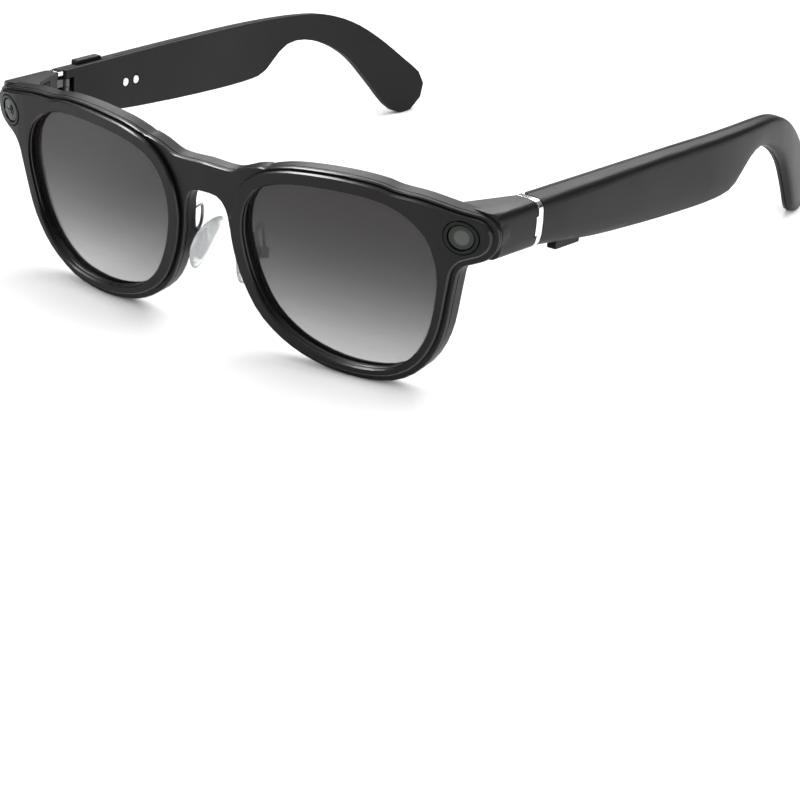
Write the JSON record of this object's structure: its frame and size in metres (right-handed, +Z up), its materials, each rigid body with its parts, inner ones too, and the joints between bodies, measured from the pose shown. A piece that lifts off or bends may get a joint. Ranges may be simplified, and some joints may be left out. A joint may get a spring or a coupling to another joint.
{
  "type": "smart glasses",
  "caption": "Smart glasses with a layered square front, a camera window, an indicator window, tinted lenses, nose pads and folding temples that carry the electronics.",
  "frame": {"origin": "middle of the bounding box's underside, on the surface the open glasses stand on", "axes": "+X to the wearer's left, +Y from the front back to the temple tips, +Z up; the front stands on its two rims and the temples on their tips"},
  "size_m": [0.148, 0.1678, 0.0473],
  "materials": {
    "satin_black": "satin, with polished edge bevels",
    "inner_black": "fine matt moulding",
    "tinted_lens": "polished, dark at the top fading to nearly clear at the bottom",
    "dark_glass": "polished",
    "diffuser": "milky, slightly green",
    "bright_chrome": "mirror polished",
    "hinge_metal": "fine brushed",
    "contact_metal": "bright plated",
    "clear_silicone": "translucent, soft",
    "circuit_board": "green solder mask",
    "battery_foil": "dull foil pouch",
    "module_black": "matt"
  },
  "bodies": {
    "front": {"ring_plate_left": "satin_black", "ring_plate_right": "satin_black", "mid_plate": "satin_black", "rear_frame": "satin_black", "lens_left": "tinted_lens", "lens_right": "tinted_lens", "end_cover_left": "inner_black", "end_cover_right": "inner_black", "hinge_band_left": "bright_chrome", "hinge_band_right": "bright_chrome", "front_hinge_leaf_left": "hinge_metal", "front_hinge_leaf_right": "hinge_metal", "hinge_pin_left": "hinge_metal", "hinge_pin_right": "hinge_metal", "indicator_bezel": "satin_black", "indicator_diffuser": "diffuser", "indicator_light": "module_black", "indicator_board": "circuit_board", "camera_bezel": "satin_black", "camera_window": "dark_glass", "camera_lens_barrel": "module_black", "camera_sensor_board": "circuit_board", "nose_pad_arm_left": "hinge_metal", "nose_pad_arm_right": "hinge_metal", "nose_pad_screw_left": "hinge_metal", "nose_pad_screw_right": "hinge_metal"},
    "pad_left": {"nose_pad_left": "clear_silicone", "nose_pad_plate_left": "hinge_metal"},
    "pad_right": {"nose_pad_right": "clear_silicone", "nose_pad_plate_right": "hinge_metal"},
    "temple_left": {"temple_shell_left": "satin_black", "temple_cover_left": "inner_black", "temple_hinge_leaf_left": "hinge_metal", "battery_left": "battery_foil", "speaker_left": "module_black", "speaker_grille_left": "hinge_metal", "audio_board_left": "circuit_board", "power_switch": "hinge_metal"},
    "temple_right": {"temple_shell_right": "satin_black", "temple_cover_right": "inner_black", "temple_hinge_leaf_right": "hinge_metal", "battery_right": "battery_foil", "speaker_right": "module_black", "speaker_grille_right": "hinge_metal", "main_board_right": "circuit_board", "capture_switch": "hinge_metal", "charging_contact_1": "contact_metal", "charging_contact_2": "contact_metal"},
    "power_key": {"power_button": "satin_black"},
    "capture_key": {"capture_button": "satin_black"}
  },
  "joints": [
    {"name": "fold_left", "type": "hinge", "parent": "front", "child": "temple_left", "pos_m": [0.06733, -0.05634, 0.03787], "axis": [0, 0.0692, 0.9976], "range_deg": [0, 92]},
    {"name": "fold_right", "type": "hinge", "parent": "front", "child": "temple_right", "pos_m": [-0.06733, -0.05634, 0.03787], "axis": [0, -0.0692, -0.9976], "range_deg": [0, 72]},
    {"name": "power_press", "type": "slide", "parent": "temple_left", "child": "power_key", "axis": [0, 0.0692, 0.9976], "range_m": [0, 0.0004], "stiffness_N_per_m": 600, "springref_m": -0.0002},
    {"name": "capture_press", "type": "slide", "parent": "temple_right", "child": "capture_key", "axis": [0, -0.0692, -0.9976], "range_m": [0, 0.0004], "stiffness_N_per_m": 600, "springref_m": -0.0002},
    {"name": "pad_rock_left", "type": "hinge", "parent": "front", "child": "pad_left", "pos_m": [0.00843, -0.07424, 0.02049], "axis": [0.0742, 0.9365, -0.3427], "range_deg": [-8, 8]},
    {"name": "pad_rock_right", "type": "hinge", "parent": "front", "child": "pad_right", "pos_m": [-0.00843, -0.07424, 0.02049], "axis": [-0.0742, 0.9365, -0.3427], "range_deg": [-8, 8]}
  ]
}
